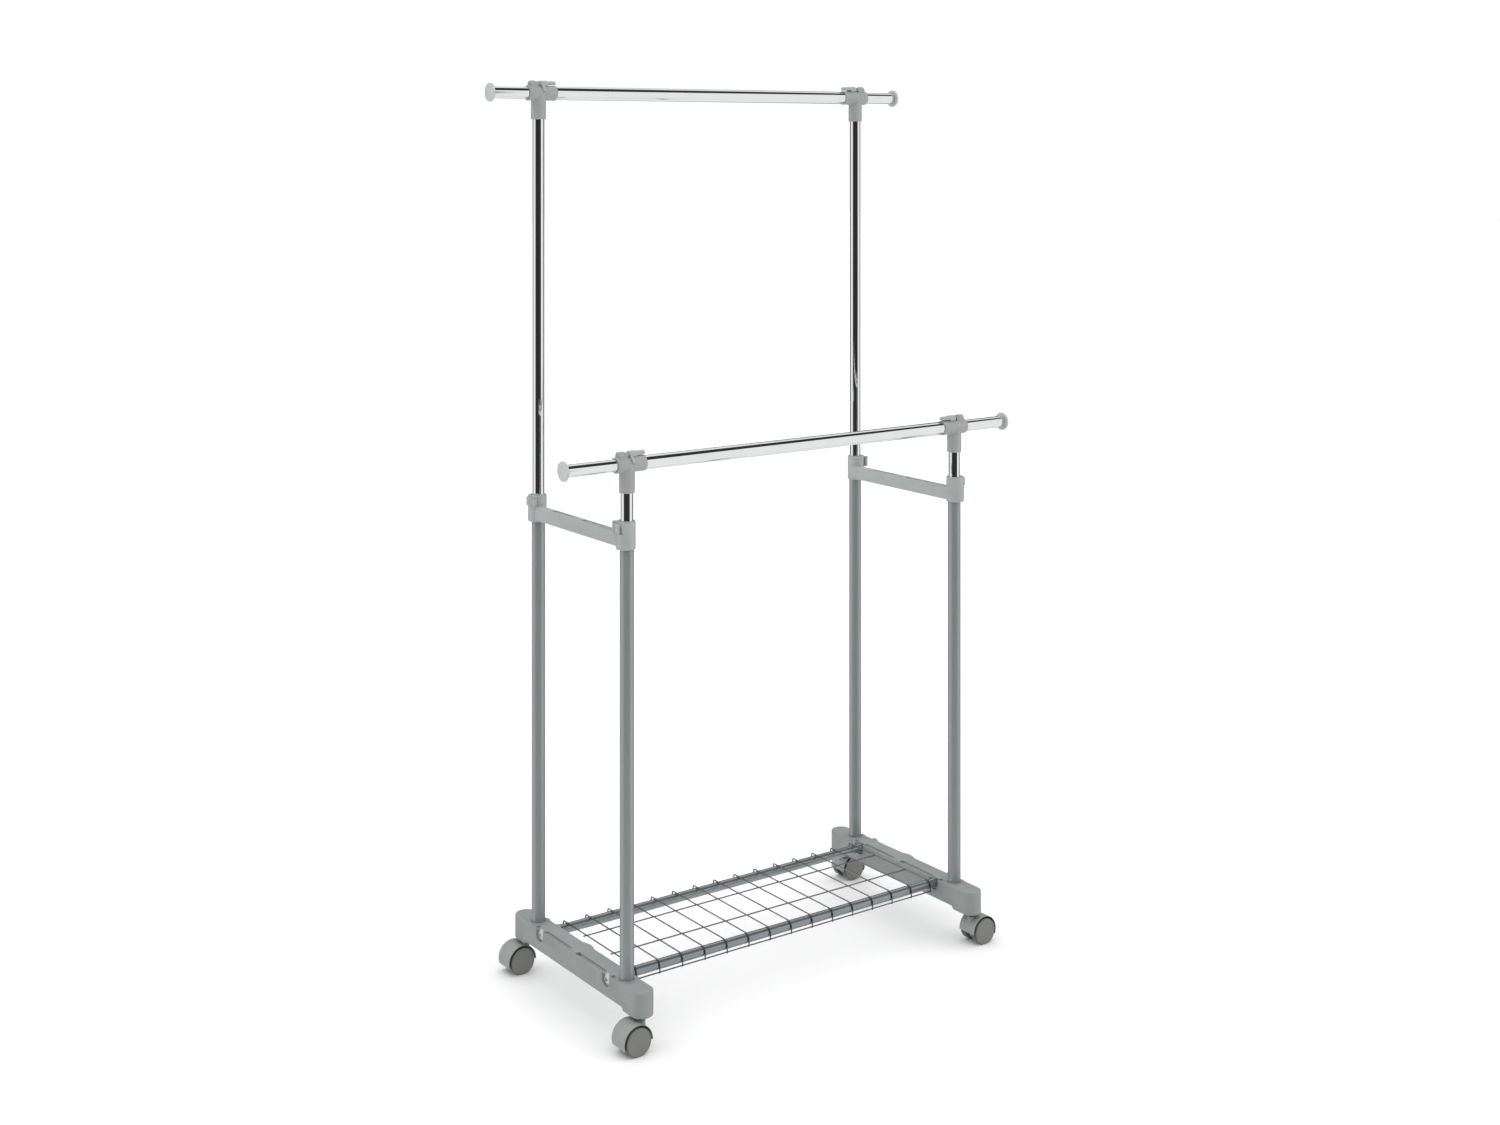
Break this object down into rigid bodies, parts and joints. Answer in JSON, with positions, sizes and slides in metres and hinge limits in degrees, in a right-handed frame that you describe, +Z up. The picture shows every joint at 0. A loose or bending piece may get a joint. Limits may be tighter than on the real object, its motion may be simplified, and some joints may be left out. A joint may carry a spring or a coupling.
{
  "type": "storage furniture",
  "caption": "Rolling clothes rack with a high rear rail and a low front rail on telescoping uprights, moulded feet on swivel casters and a wire shoe shelf.",
  "frame": {"origin": "on the floor, midway between the four uprights", "axes": "+X to the right along the rails, +Y to the back, where the high rail is, +Z up"},
  "size_m": [1.027, 0.4524, 1.688],
  "materials": {
    "moulded_grey": "fine satin texture",
    "moulded_pale": "satin",
    "wheel_dark": "satin",
    "painted_tube": "satin powder coat",
    "shelf_tube": "semi-gloss",
    "chrome_tube": "bright",
    "chrome_wire": "bright",
    "screw_chrome": "bright",
    "stem_steel": "zinc plated"
  },
  "bodies": {
    "stand": {"base_left": "moulded_grey", "base_right": "moulded_grey", "shelf_tube_front": "shelf_tube", "shelf_tube_back": "shelf_tube", "shelf_screw_fl": "screw_chrome", "shelf_screw_fr": "screw_chrome", "shelf_screw_bl": "screw_chrome", "shelf_screw_br": "screw_chrome", "shelf_grid": "chrome_wire", "lower_upright_fl": "painted_tube", "lower_upright_fr": "painted_tube", "lower_upright_bl": "painted_tube", "lower_upright_br": "painted_tube", "crossbar_left": "moulded_pale", "crossbar_right": "moulded_pale", "caster_stem_fl": "stem_steel", "caster_stem_fr": "stem_steel", "caster_stem_bl": "stem_steel", "caster_stem_br": "stem_steel"},
    "rear_mast": {"upper_tube_bl": "chrome_tube", "upper_tube_br": "chrome_tube", "tee_bl": "moulded_grey", "tee_br": "moulded_grey", "rail_back": "chrome_tube"},
    "front_mast": {"upper_tube_fl": "chrome_tube", "upper_tube_fr": "chrome_tube", "tee_fl": "moulded_grey", "tee_fr": "moulded_grey", "rail_front": "chrome_tube"},
    "extension_fl": {"rail_extension_fl": "chrome_tube", "end_cap_fl": "moulded_grey"},
    "extension_fr": {"rail_extension_fr": "chrome_tube", "end_cap_fr": "moulded_grey"},
    "extension_bl": {"rail_extension_bl": "chrome_tube", "end_cap_bl": "moulded_grey"},
    "extension_br": {"rail_extension_br": "chrome_tube", "end_cap_br": "moulded_grey"},
    "tee_lever_fl": {"tee_lever_fl": "moulded_pale"},
    "tee_lever_fr": {"tee_lever_fr": "moulded_pale"},
    "tee_lever_bl": {"tee_lever_bl": "moulded_pale"},
    "tee_lever_br": {"tee_lever_br": "moulded_pale"},
    "collar_lever_fl": {"collar_lever_fl": "moulded_pale"},
    "collar_lever_fr": {"collar_lever_fr": "moulded_pale"},
    "collar_lever_bl": {"collar_lever_bl": "moulded_pale"},
    "collar_lever_br": {"collar_lever_br": "moulded_pale"},
    "caster_fl": {"caster_hood_fl": "moulded_pale"},
    "caster_fr": {"caster_hood_fr": "moulded_pale"},
    "caster_bl": {"caster_hood_bl": "moulded_pale"},
    "caster_br": {"caster_hood_br": "moulded_pale"},
    "wheel_fl_a": {"caster_wheel_fl_a": "wheel_dark"},
    "wheel_fl_b": {"caster_wheel_fl_b": "wheel_dark"},
    "wheel_fr_a": {"caster_wheel_fr_a": "wheel_dark"},
    "wheel_fr_b": {"caster_wheel_fr_b": "wheel_dark"},
    "wheel_bl_a": {"caster_wheel_bl_a": "wheel_dark"},
    "wheel_bl_b": {"caster_wheel_bl_b": "wheel_dark"},
    "wheel_br_a": {"caster_wheel_br_a": "wheel_dark"},
    "wheel_br_b": {"caster_wheel_br_b": "wheel_dark"}
  },
  "joints": [
    {"name": "rear_height", "type": "slide", "parent": "stand", "child": "rear_mast", "axis": [0, 0, 1], "range_m": [-0.7055, 0]},
    {"name": "front_height", "type": "slide", "parent": "stand", "child": "front_mast", "axis": [0, 0, 1], "range_m": [-0.0485, 0.657]},
    {"name": "extend_fl", "type": "slide", "parent": "front_mast", "child": "extension_fl", "axis": [-1, 0, 0], "range_m": [-0.101, 0.18]},
    {"name": "extend_fr", "type": "slide", "parent": "front_mast", "child": "extension_fr", "axis": [1, 0, 0], "range_m": [-0.101, 0.18]},
    {"name": "extend_bl", "type": "slide", "parent": "rear_mast", "child": "extension_bl", "axis": [-1, 0, 0], "range_m": [-0.075, 0.2]},
    {"name": "extend_br", "type": "slide", "parent": "rear_mast", "child": "extension_br", "axis": [1, 0, 0], "range_m": [-0.075, 0.2]},
    {"name": "tee_lever_fl_lift", "type": "hinge", "parent": "front_mast", "child": "tee_lever_fl", "pos_m": [-0.3867, -0.15625, 1.0253], "axis": [0, -1, 0], "range_deg": [0, 90]},
    {"name": "tee_lever_fr_lift", "type": "hinge", "parent": "front_mast", "child": "tee_lever_fr", "pos_m": [0.3867, -0.15625, 1.0253], "axis": [0, 1, 0], "range_deg": [0, 90]},
    {"name": "tee_lever_bl_lift", "type": "hinge", "parent": "rear_mast", "child": "tee_lever_bl", "pos_m": [-0.3867, 0.15625, 1.6823], "axis": [0, -1, 0], "range_deg": [0, 90]},
    {"name": "tee_lever_br_lift", "type": "hinge", "parent": "rear_mast", "child": "tee_lever_br", "pos_m": [0.3867, 0.15625, 1.6823], "axis": [0, 1, 0], "range_deg": [0, 90]},
    {"name": "collar_lever_fl_swing", "type": "hinge", "parent": "stand", "child": "collar_lever_fl", "pos_m": [-0.39919, -0.1405, 0.898], "axis": [0, 0, -1], "range_deg": [0, 100]},
    {"name": "collar_lever_fr_swing", "type": "hinge", "parent": "stand", "child": "collar_lever_fr", "pos_m": [0.39919, -0.1405, 0.898], "axis": [0, 0, 1], "range_deg": [0, 100]},
    {"name": "collar_lever_bl_swing", "type": "hinge", "parent": "stand", "child": "collar_lever_bl", "pos_m": [-0.39919, 0.1405, 0.898], "axis": [0, 0, 1], "range_deg": [0, 100]},
    {"name": "collar_lever_br_swing", "type": "hinge", "parent": "stand", "child": "collar_lever_br", "pos_m": [0.39919, 0.1405, 0.898], "axis": [0, 0, -1], "range_deg": [0, 100]},
    {"name": "swivel_fl", "type": "hinge", "parent": "stand", "child": "caster_fl", "pos_m": [-0.3825, -0.20375, 0.04], "axis": [0, 0, 1], "continuous": true},
    {"name": "swivel_fr", "type": "hinge", "parent": "stand", "child": "caster_fr", "pos_m": [0.3825, -0.20375, 0.04], "axis": [0, 0, 1], "continuous": true},
    {"name": "swivel_bl", "type": "hinge", "parent": "stand", "child": "caster_bl", "pos_m": [-0.3825, 0.20375, 0.04], "axis": [0, 0, 1], "continuous": true},
    {"name": "swivel_br", "type": "hinge", "parent": "stand", "child": "caster_br", "pos_m": [0.3825, 0.20375, 0.04], "axis": [0, 0, 1], "continuous": true},
    {"name": "roll_fl_a", "type": "hinge", "parent": "caster_fl", "child": "wheel_fl_a", "pos_m": [-0.4015, -0.20375, 0.025], "axis": [0, 1, 0], "continuous": true},
    {"name": "roll_fl_b", "type": "hinge", "parent": "caster_fl", "child": "wheel_fl_b", "pos_m": [-0.4015, -0.20375, 0.025], "axis": [0, 1, 0], "continuous": true},
    {"name": "roll_fr_a", "type": "hinge", "parent": "caster_fr", "child": "wheel_fr_a", "pos_m": [0.4015, -0.20375, 0.025], "axis": [0, 1, 0], "continuous": true},
    {"name": "roll_fr_b", "type": "hinge", "parent": "caster_fr", "child": "wheel_fr_b", "pos_m": [0.4015, -0.20375, 0.025], "axis": [0, 1, 0], "continuous": true},
    {"name": "roll_bl_a", "type": "hinge", "parent": "caster_bl", "child": "wheel_bl_a", "pos_m": [-0.4015, 0.20375, 0.025], "axis": [0, 1, 0], "continuous": true},
    {"name": "roll_bl_b", "type": "hinge", "parent": "caster_bl", "child": "wheel_bl_b", "pos_m": [-0.4015, 0.20375, 0.025], "axis": [0, 1, 0], "continuous": true},
    {"name": "roll_br_a", "type": "hinge", "parent": "caster_br", "child": "wheel_br_a", "pos_m": [0.4015, 0.20375, 0.025], "axis": [0, 1, 0], "continuous": true},
    {"name": "roll_br_b", "type": "hinge", "parent": "caster_br", "child": "wheel_br_b", "pos_m": [0.4015, 0.20375, 0.025], "axis": [0, 1, 0], "continuous": true}
  ]
}
